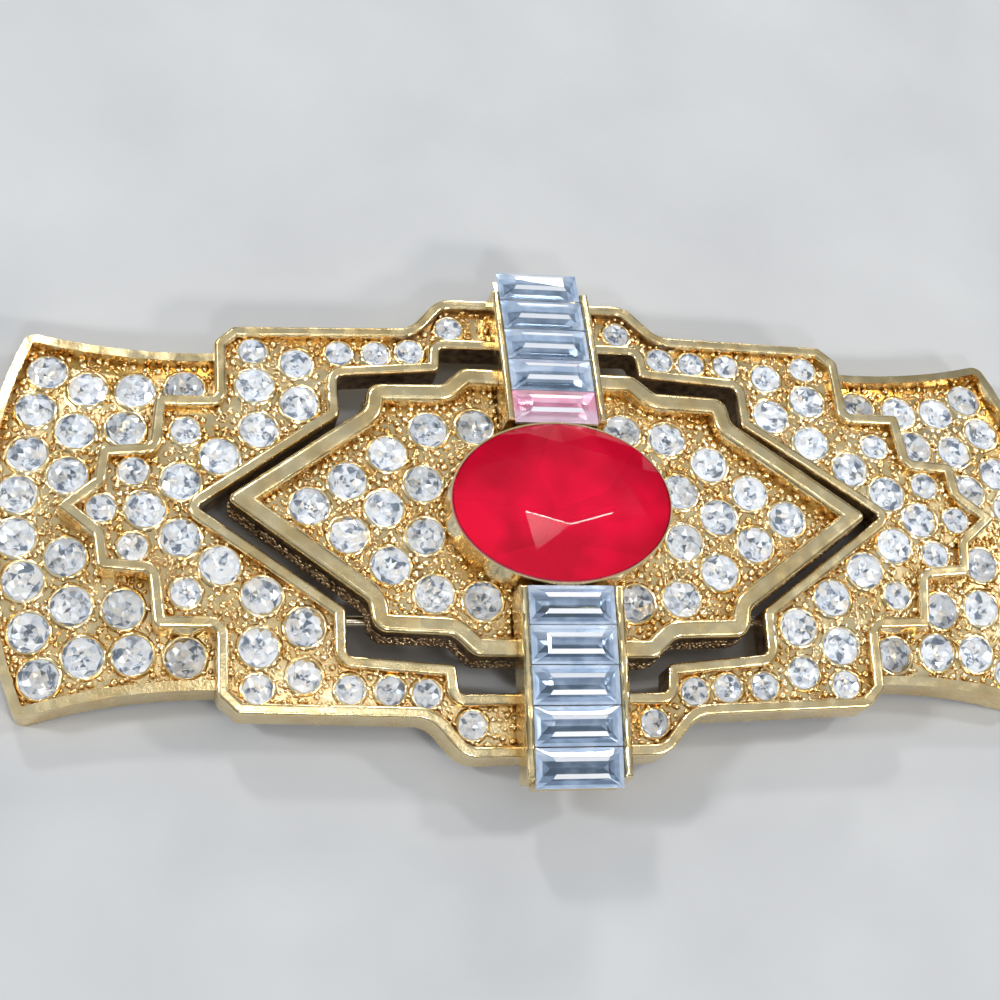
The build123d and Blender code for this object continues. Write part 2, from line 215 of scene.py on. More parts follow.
def gold(name, light, deep, rough=(0.15, 0.3), pit_depth=PIT_DEPTH, walls=None, painted_crevice_shade=None):
    """Gold plate on a casting: colour and gloss vary softly, with a fine pitted grain. The walls
    given as (facing, top, foot, reach), in millimetres, are rough and dark: casting skin and painted
    shade.
    Hollows get a painted shade, deeper in colour, for light that reaches them off the gold round them."""
    mat, tree, bsdf = new_material(name)
    bsdf.inputs["Metallic"].default_value = 1.0
    colour = ramp(tree, noise(tree, TONE_SCALE, 3.0), [(0.35, deep), (0.6, light)])
    if painted_crevice_shade is not None:
        # painted shade: where ambient occlusion finds metal close round, the colour turns deeper
        shade = add(tree, "ShaderNodeAmbientOcclusion", samples=4)
        shade.inputs["Distance"].default_value = PAINTED_SHADE_REACH * MM
        colour = blend(tree, spread(tree, shade.outputs["AO"], 0.25, 0.8), painted_crevice_shade, colour)
    gloss = spread(tree, noise(tree, GLOSS_SCALE, 2.0), 0.3, 0.7, *rough)
    pits = noise(tree, PIT_SCALE, 2.0)
    # the given walls get dark skin and painted shade
    if walls is not None:
        colour, gloss, pits = stained_and_shaded(tree, shaded_wall_mask(tree, *walls), colour, gloss, pits)
    tree.links.new(colour, bsdf.inputs["Base Color"])
    tree.links.new(gloss, bsdf.inputs["Roughness"])
    waves = bump(tree, noise(tree, WAVE_SCALE, 1.0), 1.0, WAVE_DEPTH)
    tree.links.new(bump(tree, pits, 1.0, pit_depth, waves), bsdf.inputs["Normal"])
    return mat


CLOUD_SCALE = 300.0


def glass(name, colour, rough=0.0, ior=1.55):
    """Clear glass. It lets the lamps' light through to the backing, which is what makes it bright."""
    mat, tree, bsdf = new_material(name)
    bsdf.inputs["Transmission Weight"].default_value = 1.0
    bsdf.inputs["IOR"].default_value = ior
    bsdf.inputs["Roughness"].default_value = rough
    faint = tuple(c * 0.97 for c in colour)
    tint = ramp(tree, noise(tree, CLOUD_SCALE, 1.0), [(0.3, faint), (0.7, colour)])
    tree.links.new(tint, bsdf.inputs["Base Color"])
    clear = tree.nodes.new("ShaderNodeBsdfTransparent")
    tree.links.new(tint, clear.inputs["Color"])
    mix = tree.nodes.new("ShaderNodeMixShader")
    tree.links.new(add(tree, "ShaderNodeLightPath").outputs["Is Shadow Ray"], mix.inputs[0])
    tree.links.new(bsdf.outputs[0], mix.inputs[1])
    tree.links.new(clear.outputs[0], mix.inputs[2])
    tree.links.new(mix.outputs[0], tree.nodes["Material Output"].inputs["Surface"])
    return mat


def foil(name, tones, rough, metal=0.65, patch=700.0, uneven=0.12, fade=None):
    """Backing behind the glass. A facet's own tone, made uneven in patches, picks its colour between
    the given ones, as painted light and shade for the facets' reflections. A fade (low, high, colour)
    turns it into that colour towards lower Y."""
    mat, tree, bsdf = new_material(name)
    bsdf.inputs["Metallic"].default_value = metal
    bsdf.inputs["Roughness"].default_value = rough
    # the facet's tone: painted light and shade
    painted_facet_light = add(tree, "ShaderNodeAttribute", attribute_name="painted_facet_light").outputs["Fac"]
    cloud = spread(tree, noise(tree, patch, 2.0), 0.35, 0.65, -uneven, uneven)
    stops = [(i / (len(tones) - 1), colour) for i, colour in enumerate(tones)]
    colour = ramp(tree, math_node(tree, "ADD", painted_facet_light, cloud), stops)
    if fade is not None:
        place = tree.nodes.new("ShaderNodeSeparateXYZ")
        tree.links.new(position(tree), place.inputs[0])
        far = spread(tree, place.outputs["Y"], fade[0] * MM, fade[1] * MM)
        colour = blend(tree, far, fade[2], colour)
    tree.links.new(colour, bsdf.inputs["Base Color"])
    return mat


# ---------------------------------------------------------------- mesh helpers
class Shape:
    """Vertices and faces gathered from many small pieces that become one object."""

    def __init__(self):
        self.verts = []
        self.faces = []
        self.kinds = []
        self.tones = []

    def add(self, verts, faces, kinds=0, tones=0.5):
        start = len(self.verts)
        self.verts.extend(verts)
        self.faces.extend([tuple(start + i for i in face) for face in faces])
        self.kinds.extend([kinds] * len(faces) if isinstance(kinds, int) else kinds)
        self.tones.extend([tones] * len(faces) if isinstance(tones, float) else tones)

    def make(self, name, materials, smooth=False):
        mesh = bpy.data.meshes.new(name)
        mesh.from_pydata(self.verts, [], self.faces)
        for mat in materials:
            mesh.materials.append(mat)
        mesh.polygons.foreach_set("material_index", self.kinds)
        mesh.polygons.foreach_set("use_smooth", [smooth] * len(self.faces))
        mesh.attributes.new("painted_facet_light", "FLOAT", "FACE").data.foreach_set("value", self.tones)
        mesh.update()
        obj = bpy.data.objects.new(name, mesh)
        bpy.context.scene.collection.objects.link(obj)
        return obj


MERGE = 1e-7                # metres between corners that are one
CROWN_FACING = 0.3          # a stone's faces that give its axis: their normal's Z is over this
TABLE_FACING = 0.985        # cosine between the axis and a face of the table


def islands(node):
    """The separate solids of a CAD node, each as its faces' (centre, normal, area, corners)."""
    bm = bmesh.new()
    bm.from_mesh(nodes[node].data)
    bmesh.ops.remove_doubles(bm, verts=bm.verts, dist=MERGE)
    bm.faces.ensure_lookup_table()
    seen = set()
    found = []
    for first in bm.faces:
        if first.index in seen:
            continue
        seen.add(first.index)
        stack = [first]
        group = []
        while stack:
            face = stack.pop()
            group.append((face.calc_center_median(), face.normal.copy(), face.calc_area(),
                          [v.co.copy() for v in face.verts]))
            for edge in face.edges:
                for other in edge.link_faces:
                    if other.index not in seen:
                        seen.add(other.index)
                        stack.append(other)
        found.append(group)
    bm.free()
    return found


def table_of(group):
    """Centre and normal of a stone's table, and the stone's corners."""
    axis = sum((f[1] * f[2] for f in group if f[1].z > CROWN_FACING), Vector()).normalized()
    flat = [f for f in group if f[1].dot(axis) > TABLE_FACING]
    centre = sum((f[0] * f[2] for f in flat), Vector()) / sum(f[2] for f in flat)
    corners = [c for f in group for c in f[3]]
    return centre, axis, corners


def axes_at(origin, normal, turn=0.0):
    """Matrix with Z along the normal and X as near the frame's X as it can be, then turned."""
    near = Vector((1, 0, 0)) if abs(normal.x) < 0.9 else Vector((0, 1, 0))
    x = (near - normal * normal.dot(near)).normalized()
    y = normal.cross(x)
    base = Matrix((x, y, normal)).transposed().to_4x4()
    return Matrix.Translation(origin) @ base @ Matrix.Rotation(turn, 4, "Z")


# ---------------------------------------------------------------- round stones
TABLE_R = 0.58
TABLE_Z = 0.28          # heights are shares of the radius, over the girdle
GIRDLE_TOP = 0.02
GIRDLE_FOOT = -0.04
CULET_Z = -0.66
STAR_R = 0.78
PAVILION_R = (0.74, 0.47, 0.22)
STONE_LEAN = 0.022      # radians
CROWN, FOIL, PAINTED_HIGHLIGHT = 0, 1, 2       # material slots: glass, backing and a bevel's painted highlight


def ring(radius, z, count, shift=0.0):
    return [Vector((radius * math.cos(math.tau * (i + shift) / count),
                    radius * math.sin(math.tau * (i + shift) / count), z)) for i in range(count)]


def laid(rings):
    """The rings' vertices in one list, and where each ring starts in it."""
    verts = []
    starts = []
    for points in rings:
        starts.append(len(verts))
        verts += points
    return verts, starts


def brilliant():
    """Round brilliant of radius 1, its girdle at Z = 0, with three rings of facets on its pavilion."""
    half = math.cos(math.pi / 8)
    crown_slope = (TABLE_Z - GIRDLE_TOP) / (1 - TABLE_R)
    star_z = GIRDLE_TOP + (1 - STAR_R * half) * crown_slope
    rings = [ring(TABLE_R, TABLE_Z, 8), ring(STAR_R, star_z, 8, 0.5),
             ring(1.0, GIRDLE_TOP, 16), ring(1.0, GIRDLE_FOOT, 16)]
    for n, radius in enumerate(PAVILION_R):
        z = CULET_Z + radius * half * (GIRDLE_FOOT - CULET_Z)
        rings.append(ring(radius, z, 8, 0.5 * ((n + 1) % 2)))
    rings.append([Vector((0, 0, CULET_Z))])
    verts, (table, star, top, foot, *pavilion, culet) = laid(rings)
    low, last = pavilion[0], pavilion[-1]
    faces = [tuple(range(8))]
    for i in range(8):
        j, before = (i + 1) % 8, (i - 1) % 8
        g, mid, after = 2 * i, 2 * i + 1, (2 * i + 2) % 16
        faces.append((table + i, star + i, table + j))
        faces.append((table + i, star + before, top + g, star + i))
        faces.append((star + i, top + g, top + mid))
        faces.append((star + i, top + mid, top + after))
    crown = len(faces)
    for i in range(16):
        j = (i + 1) % 16
        faces.append((top + i, foot + i, foot + j, top + j))
    for i in range(8):
        j, before = (i + 1) % 8, (i - 1) % 8
        g, mid, after = 2 * i, 2 * i + 1, (2 * i + 2) % 16
        faces.append((low + i, foot + mid, foot + g))
        faces.append((low + i, foot + after, foot + mid))
        faces.append((low + i, foot + g, low + before))
        for n, (outer, inner) in enumerate(zip(pavilion, pavilion[1:])):
            peak = i if n % 2 == 0 else before
            faces.append((outer + i, outer + before, inner + peak))
            faces.append((outer + i, inner + peak, inner + (peak + 1) % 8))
        faces.append((culet, last + j, last + i))
    return verts, faces, [CROWN] * crown + [FOIL] * (len(faces) - crown)


def cut_round_stones(node, rng, materials, seats):
    """Replaces a group of CAD stones with cut ones, each turned by its own angle."""
    shape = Shape()
    verts, faces, kinds = brilliant()
    for group in islands(node):
        centre, normal, corners = table_of(group)
        radius = max(((c - centre) - normal * (c - centre).dot(normal)).length for c in corners)
        girdle = centre - normal * TABLE_Z * radius
        seats.append((girdle, normal, radius))
        lean = Vector(rng.normal(0.0, STONE_LEAN, 3))
        place = axes_at(girdle, (normal + lean).normalized(), rng.uniform(0, math.pi / 4))
        # each facet's random tone picks its backing from dark to white: painted reflections
        tones = list(rng.uniform(0, 1, len(faces)))
        shape.add([place @ (v * radius) for v in verts], faces, kinds, tones)
    obj = shape.make(node + "_cut", materials)
    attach(obj, "brooch")
    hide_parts(node)


# ---------------------------------------------------------------- baguettes
def baguette_levels(w, l):
    """(height, width, length) of a step-cut bar's levels, in millimetres under its table."""
    crown = [(0.0, w - 2.6, l - 1.95), (-0.13, w - 2.2, l - 1.3), (-0.62, w, l)]
    pavilion = [(-0.9, w, l), (-1.22, w - 0.7, l - 0.9), (-1.5, w - 1.5, l - 1.8),
                (-1.68, w - 2.6, 0.12)]
    return crown, pavilion


BAR_PAINTED_LIGHT = [  # painted light and shade of the near, right, far and left facets, from the girdle down to the keel
    (0.75, 0.7, 0.85, 0.72), (0.7, 0.8, 0.8, 0.85), (0.3, 0.55, 0.6, 0.65), (0.0, 0.3, 0.25, 0.35)]
BAR_VARIES = 0.1


def cut_baguette(node, materials, rng):
    group = islands(node)[0]
    centre, normal, corners = table_of(group)
    place = axes_at(centre, normal)
    local = [place.inverted() @ c for c in corners]
    w = (max(c.x for c in local) - min(c.x for c in local)) / MM
    l = (max(c.y for c in local) - min(c.y for c in local)) / MM
    crown, pavilion = baguette_levels(w, l)
    shape = Shape()
    verts = []
    for z, a, b in crown + pavilion:
        verts += [place @ (Vector((sx * a / 2, sy * b / 2, z)) * MM)
                  for sx, sy in ((-1, -1), (1, -1), (1, 1), (-1, 1))]
    faces = [(0, 1, 2, 3)]
    kinds = [CROWN]
    tones = [0.5]
    steps = len(crown) + len(pavilion)
    for step in range(steps - 1):
        for i in range(4):
            j = (i + 1) % 4
            faces.append((4 * step + i, 4 * step + 4 + i, 4 * step + 4 + j, 4 * step + j))
            # the near and far bevels under the table get a white backing: a painted highlight
            bevel = PAINTED_HIGHLIGHT if step == 0 and i in (0, 2) else CROWN
            kinds.append(bevel if step < len(crown) - 1 else FOIL)
            # painted light: each backing facet's tone by its side and depth
            tones.append(BAR_PAINTED_LIGHT[max(0, step - len(crown) + 1)][i])
    last = 4 * (steps - 1)
    faces.append((last + 3, last + 2, last + 1, last))
    kinds.append(FOIL)
    tones.append(0.0)
    varied = np.array(tones) + rng.uniform(-BAR_VARIES, BAR_VARIES, len(tones))
    shape.add(verts, faces, kinds, list(varied))
    obj = shape.make(node + "_cut", materials)
    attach(obj, "brooch")
    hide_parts(node)


# ---------------------------------------------------------------- oval stone
OVAL_TABLE = (0.575, 0.53)      # shares of the stone's length and width
OVAL_TABLE_Y = 0.13             # the table sits off the middle by this share of the half width
OVAL_CROWN = 1.5                # millimetres
OVAL_GIRDLE = 0.13
OVAL_LAP = 1.025                # the girdle laps over the bezel's edge
OVAL_DEPTH = 3.1
OVAL_STAR = 0.82
OVAL_LOW = 0.5
OVAL_CHAMFER = 0.014            # width and fall of the narrow facets round the table
OVAL_CHAMFER_Z = 0.05
OVAL_STAR_Z = 0.56              # share of the crown's height
OVAL_ARC = 8                    # girdle sides for each main facet
# painted light and shade on the oval's backing, one tone for each main facet
OVAL_PAINTED_LIGHT = (0.5, 0.54, 0.46, 0.52, 0.5, 0.58, 0.6, 0.5)


def oval_ring(radius, z, count, shift=0.0, off=0.0):
    return [Vector((v.x * radius[0], v.y * radius[1] + off, v.z)) for v in ring(1.0, z, count, shift)]


def cut_oval(node, materials):
    """Oval brilliant: the round cut stretched to the CAD stone's length and width."""
    low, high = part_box(node)
    half = Vector(((high.x - low.x) / 2, (high.y - low.y) / 2)) / MM
    girdle = high.z / MM - OVAL_CROWN
    middle = (low + high) / 2
    inner = tuple(k - OVAL_CHAMFER for k in OVAL_TABLE)
    lap = (OVAL_LAP, OVAL_LAP)
    stars = (OVAL_STAR, OVAL_STAR)
    sides = 8 * OVAL_ARC
    verts, (table, star, rim, foot, low_ring, culet, top) = laid([
        oval_ring(OVAL_TABLE, OVAL_CROWN - OVAL_CHAMFER_Z, 8, off=OVAL_TABLE_Y),
        oval_ring(stars, OVAL_CROWN * OVAL_STAR_Z, 8, 0.5, OVAL_TABLE_Y / 2),
        oval_ring(lap, 0.0, sides),
        oval_ring(lap, -OVAL_GIRDLE, sides),
        ring(OVAL_LOW, -OVAL_GIRDLE - OVAL_DEPTH / 2, 8, 0.5),
        [Vector((0, 0, -OVAL_GIRDLE - OVAL_DEPTH))],
        oval_ring(inner, OVAL_CROWN, 8, off=OVAL_TABLE_Y)])
    faces = [tuple(range(top, top + 8))]
    for i in range(8):
        j, before = (i + 1) % 8, (i - 1) % 8
        faces.append((table + i, table + j, top + j, top + i))
        faces.append((table + i, star + i, table + j))
        faces.append((table + i, star + before, rim + OVAL_ARC * i, star + i))
        arc = [rim + (OVAL_ARC * i + k) % sides for k in range(OVAL_ARC + 1)]
        faces += [(star + i, a, b) for a, b in zip(arc, arc[1:])]
    crown = len(faces)
    for i in range(sides):
        j = (i + 1) % sides
        faces.append((rim + i, foot + i, foot + j, rim + j))
    tones = [0.5] * len(faces)
    for i in range(8):
        before = (i - 1) % 8
        arc = [foot + (OVAL_ARC * i + k) % sides for k in range(OVAL_ARC + 1)]
        faces += [(low_ring + i, b, a) for a, b in zip(arc, arc[1:])]
        faces.append((culet, low_ring + i, arc[0], low_ring + before))
        tones += [OVAL_PAINTED_LIGHT[i]] * OVAL_ARC + [OVAL_PAINTED_LIGHT[-1 - i]]
    place = [Vector((middle.x + v.x * half.x * MM, middle.y + v.y * half.y * MM, (girdle + v.z) * MM))
             for v in verts]
    shape = Shape()
    shape.add(place, faces, [CROWN] * crown + [FOIL] * (len(faces) - crown), tones)
    obj = shape.make("oval_stone_cut", materials)
    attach(obj, "brooch")
    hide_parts(node)


# ---------------------------------------------------------------- lips and grains
LIP = [  # a lip's section: millimetres outside the stone and over its girdle
    (-0.12, 0.05), (-0.115, 0.12), (-0.07, 0.16), (0.0, 0.165), (0.08, 0.12), (0.17, 0.04),
    (0.26, -0.07)]
LIP_SIDES = 36
PRONGS = (5, 8)                 # beads on each lip: at least 5, and under 8
PRONG_R = (0.15, 0.24)
PRONG_RISE = 0.12
PRONG_LAP = 0.02
LIP_WAVES = ((3, 0.14), (7, 0.12))      # waves round a lip, and their share of its height


def seat_lips(name, seats, material, rng):
    """A smooth raised ring round each stone, with beads of metal pushed over its edge."""
    shape = Shape()
    bead, bead_faces = dome()
    for girdle, normal, radius in seats:
        place = axes_at(girdle, normal)
        verts = []
        wobble = rng.uniform(0, math.tau, 3)
        for i in range(LIP_SIDES):
            a = math.tau * i / LIP_SIDES
            swell = 1 + sum(share * math.sin(waves * a + phase)
                            for (waves, share), phase in zip(LIP_WAVES, wobble))
            for out, z in LIP:
                r = radius + out * swell * MM
                verts.append(place @ Vector((r * math.cos(a), r * math.sin(a), z * swell * MM)))
        n = len(LIP)
        faces = []
        for i in range(LIP_SIDES):
            here, there = n * i, n * ((i + 1) % LIP_SIDES)
            faces += [(here + k + 1, there + k + 1, there + k, here + k) for k in range(n - 1)]
        shape.add(verts, faces)
        count = int(rng.integers(*PRONGS))
        for k in range(count):
            a = math.tau * (k + rng.uniform(-0.3, 0.3)) / count + wobble[2]
            size = rng.uniform(*PRONG_R) * MM
            r = radius - PRONG_LAP * MM + size
            at = place @ Vector((r * math.cos(a), r * math.sin(a), PRONG_RISE * MM))
            if any((at - g).length < other + size for g, _, other in seats if g is not girdle):
                continue
            stand = axes_at(at, normal, a)
            shape.add([stand @ (v * size) for v in bead], bead_faces)
    obj = shape.make(name, [material], smooth=True)
    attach(obj, "brooch")


DOME_LEVELS = (35, 65, 90, 125)         # degrees down from a bead's top


def dome():
    """Bead of radius 1, open underneath where it sinks into the metal."""
    rings = [ring(math.sin(math.radians(a)), math.cos(math.radians(a)), 8) for a in DOME_LEVELS]
    verts, starts = laid([[Vector((0, 0, 1))]] + rings)
    faces = [(0, 1 + i, 1 + (i + 1) % 8) for i in range(8)]
    for upper, lower in zip(starts[1:], starts[2:]):
        for i in range(8):
            j = (i + 1) % 8
            faces.append((upper + i, lower + i, lower + j, upper + j))
    return verts, faces


GRAIN_SIZES = (0.14, 0.34)      # radii
GRAIN_TRIES = 34000
GRAIN_CLEAR = 0.13              # millimetres between a stone and a grain, over the lip
GRAIN_OVERLAP = 0.85            # two grains stand closer than touching by this share
GRAIN_SKEW = 1.3                # over 1, there are more small grains than large ones
GRAIN_LEVEL = 0.95              # the normal's Z on a floor
GRAIN_SINK = (-0.25, 0.2)       # of its radius, over the floor
GRAIN_STRETCH = ((0.85, 1.25), (0.8, 1.05), (0.75, 1.15))
NEAR_SEATS = 5                  # stones that a grain keeps clear of
LEVEL_SEATS = 3                 # stones, one of which has to be level with the grain
SEAT_LEVEL = 0.25               # millimetres between the floor and a near stone's girdle
RINGLET_OVER = 0.6              # of the size range
RINGLET_SIZE = 1.2
RINGLET_SHARE = 0.12            # of the grains over that, cast as a ring round a dot
CELL = 0.8 * MM                 # of the grid that finds a grain's neighbours


RINGLET = [(0.62, -0.3), (0.66, 0.22), (0.82, 0.34), (0.96, 0.22), (1.02, -0.3)]   # its section
RINGLET_SIDES = 14
DOT_R = 0.3


def ringlet():
    """Small raised ring of radius 1 with a dot in its middle."""
    sides, n = RINGLET_SIDES, len(RINGLET)
    verts = []
    faces = []
    for i in range(sides):
        a = math.tau * i / sides
        verts += [Vector((r * math.cos(a), r * math.sin(a), z)) for r, z in RINGLET]
        here, there = n * i, n * ((i + 1) % sides)
        faces += [(here + k, here + k + 1, there + k + 1, there + k) for k in range(n - 1)]
    dot, dot_faces = dome()
    faces += [tuple(len(verts) + i for i in face) for face in dot_faces]
    return verts + [v * DOT_R for v in dot], faces


def grains(name, floor_node, seats, material, rng):
    """Beads of cast gold that fill the floor between the stones, found by dropping points on it."""
    tree = BVHTree.FromObject(nodes[floor_node], bpy.context.evaluated_depsgraph_get())
    low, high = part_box(floor_node)
    centres = np.array([list(s[0]) for s in seats])
    placed = {}
    shape = Shape()
    verts, faces = dome()
    ring_verts, ring_faces = ringlet()
    sizes = np.sort(rng.uniform(0, 1, GRAIN_TRIES) ** GRAIN_SKEW)[::-1]
    for size in sizes:
        radius = (GRAIN_SIZES[0] + (GRAIN_SIZES[1] - GRAIN_SIZES[0]) * size) * MM
        x = rng.uniform(low.x, high.x)
        y = rng.uniform(low.y, high.y)
        hit, normal, _, _ = tree.ray_cast(Vector((x, y, high.z + MM)), Vector((0, 0, -1)))
        if hit is None or normal.z < GRAIN_LEVEL:
            continue
        near = np.argsort(np.sum((centres[:, :2] - (x, y)) ** 2, axis=1))[:NEAR_SEATS]
        rises = [abs((hit - seats[k][0]).dot(seats[k][1])) for k in near[:LEVEL_SEATS]]
        if min(rises) > SEAT_LEVEL * MM:
            continue
        room = GRAIN_CLEAR * MM + radius * 0.7
        clear = all((hit - seats[k][0]).length > seats[k][2] + room for k in near)
        key = (int(math.floor(x / CELL)), int(math.floor(y / CELL)))
        beside = [q for a in (-1, 0, 1) for b in (-1, 0, 1)
                  for q in placed.get((key[0] + a, key[1] + b), [])]
        if not clear or any((hit - q[0]).length < (radius + q[1]) * GRAIN_OVERLAP for q in beside):
            continue
        placed.setdefault(key, []).append((hit, radius))
        raised = hit + normal * radius * rng.uniform(*GRAIN_SINK)
        place = axes_at(raised, normal, rng.uniform(0, math.tau))
        stretch = Vector([rng.uniform(*limits) for limits in GRAIN_STRETCH])
        if size > RINGLET_OVER and rng.uniform() < RINGLET_SHARE:
            shape.add([place @ (v * radius * RINGLET_SIZE) for v in ring_verts], ring_faces)
        else:
            shape.add([place @ (v * stretch * radius) for v in verts], faces)
    obj = shape.make(name, [material], smooth=True)
    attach(obj, "brooch")


# ---------------------------------------------------------------- beaded walls
BEAD_PITCH = 0.46
BEAD_R = 0.21
BEAD_VARIES = (0.85, 1.08)
BEAD_SINK = 0.35                # of a bead's radius, into the wall
WALL_GRAINS = 2600
WALL_GRAIN_R = (0.09, 0.17)
WALL_GRAIN_SINK = (0.2, 0.7)
WALL_GRAIN_TOP = 1.7            # millimetres over the wall's foot
WALL_GRAIN_SKEW = 1.4           # over 1, there are more of them low on the wall
FOOT_INSET = 0.3                # where the wall's foot is felt for, inside its outline


def outline(node, height):
    """Outer loop of a node's section at a height, counterclockwise."""
    bm = bmesh.new()
    bm.from_mesh(nodes[node].data)
    bmesh.ops.remove_doubles(bm, verts=bm.verts, dist=MERGE)
    cut = bmesh.ops.bisect_plane(bm, geom=bm.verts[:] + bm.edges[:] + bm.faces[:],
                                 plane_co=(0, 0, height), plane_no=(0, 0, 1))["geom_cut"]
    links = {}
    for edge in cut:
        if isinstance(edge, bmesh.types.BMEdge):
            for a, b in (edge.verts, reversed(edge.verts)):
                links.setdefault(a, []).append(b)
    loops = []
    while links:
        last, at = None, next(iter(links))
        loop = []
        while at in links:
            loop.append(at.co.copy())
            onward = [v for v in links.pop(at) if v is not last]
            last, at = at, onward[0]
        loops.append(loop)
    bm.free()
    loop = max(loops, key=lambda points: max(p.x for p in points) - min(p.x for p in points))
    turn = sum(a.x * b.y - b.x * a.y for a, b in zip(loop, loop[1:] + loop[:1]))
    return loop if turn > 0 else loop[::-1]


def spaced(loop, count):
    """(point, outward direction) at even steps along a closed loop."""
    runs = [(b - a).length for a, b in zip(loop, loop[1:] + loop[:1])]
    step = sum(runs) / count
    found = []
    at, done = 0, 0.0
    for k in range(count):
        while done + runs[at] < k * step:
            done += runs[at]
            at += 1
        a, b = loop[at], loop[(at + 1) % len(loop)]
        along = (b - a).normalized()
        found.append((a.lerp(b, (k * step - done) / runs[at]), Vector((along.y, -along.x, 0))))
    return found


def beaded_wall(name, node, height, material, rng):
    """A row of beads along the foot of a node's outer wall, and small grains over the row."""
    tree = BVHTree.FromObject(nodes[node], bpy.context.evaluated_depsgraph_get())
    loop = outline(node, height)
    length = sum((b - a).length for a, b in zip(loop, loop[1:] + loop[:1]))
    verts, faces = dome()
    shape = Shape()

    def put(at, out, rise, radius, sink):
        hit = tree.ray_cast(Vector((at.x, at.y, 0)) - out * FOOT_INSET * MM, Vector((0, 0, 1)))[0]
        if hit is not None:
            place = axes_at(Vector((at.x, at.y, hit.z + rise * MM)) - out * sink * radius * MM, out)
            shape.add([place @ (v * radius * MM) for v in verts], faces)

    for at, out in spaced(loop, round(length / (BEAD_PITCH * MM))):
        put(at, out, BEAD_R, BEAD_R * rng.uniform(*BEAD_VARIES), BEAD_SINK)
    for at, out in spaced(loop, WALL_GRAINS):
        radius = rng.uniform(*WALL_GRAIN_R)
        rise = 2 * BEAD_R + (WALL_GRAIN_TOP - 2 * BEAD_R) * rng.uniform(0, 1) ** WALL_GRAIN_SKEW
        put(at, out, rise, radius, rng.uniform(*WALL_GRAIN_SINK))
    obj = shape.make(name, [material], smooth=True)
    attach(obj, "brooch")


# ---------------------------------------------------------------- stage and light
FLOOR_HALF = 1.2            # metres
FLOOR_TINT = [(0.3, (0.47, 0.47, 0.47)), (0.7, (0.53, 0.53, 0.525))]


def make_stage():
    size = FLOOR_HALF
    mesh = bpy.data.meshes.new("floor")
    mesh.from_pydata([(-size, -size, 0), (size, -size, 0), (size, size, 0), (-size, size, 0)], [],
                     [(0, 1, 2, 3)])
    floor = bpy.data.objects.new("floor", mesh)
    bpy.context.scene.collection.objects.link(floor)
    mat, tree, bsdf = new_material("floor")
    bsdf.inputs["Roughness"].default_value = 0.7
    tint = ramp(tree, noise(tree, 60.0, 4.0), FLOOR_TINT)
    tree.links.new(tint, bsdf.inputs["Base Color"])
    mesh.materials.append(mat)


SKY = [(0.0, (0.10, 0.11, 0.12)), (0.25, (0.20, 0.22, 0.25)), (0.55, (0.46, 0.51, 0.58)),
       (0.85, (0.76, 0.82, 0.92)), (1.0, (0.80, 0.86, 0.96))]
SKY_STRENGTH = 0.58
LIGHT_DISTANCE = 0.5
LIGHTS = [  # name, direction, width, height, radiance, colour
    ("near", (0.53, -0.60, 0.60), 0.09, 0.06, 45.0, (1.0, 0.97, 0.92)),
    ("over", (0.035, -0.09, 0.99), 0.07, 0.07, 6.0, (1.0, 0.98, 0.96)),
    ("far", (0.217, 0.887, 0.404), 0.08, 0.08, 30.0, (1.0, 0.98, 0.95)),
    ("left", (-0.75, 0.1, 0.6), 0.06, 0.06, 80.0, (0.92, 0.96, 1.0)),
    ("spot_a", (0.7, 0.2, 0.68), 0.04, 0.04, 110.0, (1.0, 1.0, 1.0)),
    ("spot_b", (-0.3, 0.72, 0.65), 0.04, 0.04, 110.0, (1.0, 1.0, 1.0)),
    ("spot_c", (-0.04, -0.68, 0.73), 0.05, 0.05, 55.0, (0.92, 0.96, 1.0))]


def make_light():
    world = bpy.data.worlds.new("world")
    world.use_nodes = True
    tree = world.node_tree
    up = tree.nodes.new("ShaderNodeSeparateXYZ")
    tree.links.new(add(tree, "ShaderNodeTexCoord").outputs["Generated"], up.inputs[0])
    background = tree.nodes["Background"]
    tree.links.new(ramp(tree, up.outputs["Z"], SKY), background.inputs["Color"])
    background.inputs["Strength"].default_value = SKY_STRENGTH
    bpy.context.scene.world = world
    for name, direction, width, height, radiance, colour in LIGHTS:
        data = bpy.data.lights.new(name, "AREA")
        data.shape = "RECTANGLE"
        data.size = width
        data.size_y = height
        data.energy = radiance * math.pi * width * height
        data.color = colour
        obj = bpy.data.objects.new(name, data)
        bpy.context.scene.collection.objects.link(obj)
        toward = Vector(direction).normalized()
        obj.location = toward * LIGHT_DISTANCE
        obj.rotation_mode = "QUATERNION"
        obj.rotation_quaternion = (-toward).to_track_quat("-Z", "Y")


# ---------------------------------------------------------------- the materials
GOLD_LIGHT, GOLD_DEEP = (0.92, 0.75, 0.42), (0.83, 0.61, 0.28)
# colour of the painted shade in hollows between the gold
PAINTED_CREVICE_SHADE = (0.56, 0.34, 0.11)
WHITE = (1.0, 1.0, 1.0)

frame_gold = gold("frame_gold", GOLD_LIGHT, GOLD_DEEP, walls=(-1, 4.9, 4.3, 30.5),
                  pit_depth=0.009 * MM, painted_crevice_shade=PAINTED_CREVICE_SHADE)
panel_gold = gold("panel_gold", GOLD_LIGHT, GOLD_DEEP, walls=(1, 5.9, 5.4, 99.0), painted_crevice_shade=PAINTED_CREVICE_SHADE)
band_gold = gold("band_gold", GOLD_LIGHT, GOLD_DEEP, painted_crevice_shade=PAINTED_CREVICE_SHADE)
